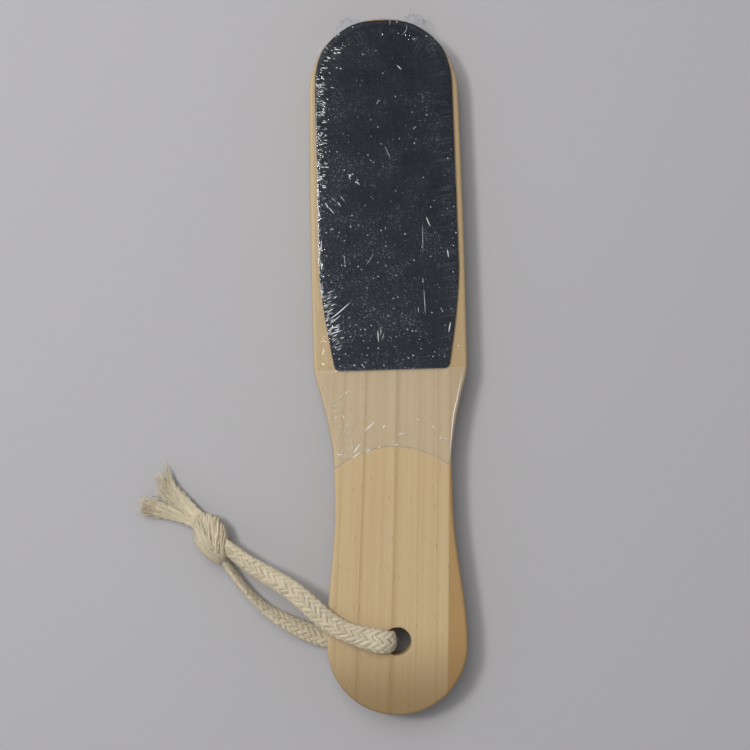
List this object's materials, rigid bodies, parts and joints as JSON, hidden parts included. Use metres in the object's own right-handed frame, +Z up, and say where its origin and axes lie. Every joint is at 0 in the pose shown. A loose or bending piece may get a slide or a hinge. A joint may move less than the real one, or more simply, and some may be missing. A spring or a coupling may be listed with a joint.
{
  "type": "foot file",
  "caption": "Paddle-shaped wooden foot file with an abrasive sheet on each face, a clear shrink sleeve over its head and a knotted cotton hanging loop through its handle.",
  "frame": {"origin": "middle of the paddle's and sleeve's box, on the surface that the file lies on", "axes": "+Y along the paddle from the handle to the head, +Z up out of the coarse face, +X to the right when the coarse face is seen with the head away"},
  "size_m": [0.1204, 0.251, 0.0189],
  "materials": {
    "wood": "sanded bare pine, matte",
    "adhesive": "tacky adhesive film",
    "backing": "dark cloth backing",
    "coarse_grit": "coarse black abrasive grains in resin",
    "fine_grit": "fine dark abrasive grains in resin",
    "film": "clear glossy shrink film",
    "cotton": "undyed braided cotton"
  },
  "bodies": {
    "foot_file": {"paddle": "wood", "coarse_adhesive": "adhesive", "coarse_backing": "backing", "coarse_grit": "coarse_grit", "fine_adhesive": "adhesive", "fine_backing": "backing", "fine_grit": "fine_grit", "shrink_sleeve": "film"},
    "hanging_loop": {"cord_upper_leg": "cotton", "cord_lower_leg": "cotton", "cord_knot": "cotton", "cord_upper_tail": "cotton", "cord_lower_tail": "cotton"}
  },
  "joints": [
    {"name": "loop_swing", "type": "hinge", "parent": "foot_file", "child": "hanging_loop", "pos_m": [0, -0.09889, 0.00915], "axis": [0, 0.0164, 0.9999], "range_deg": [-10, 210]}
  ]
}
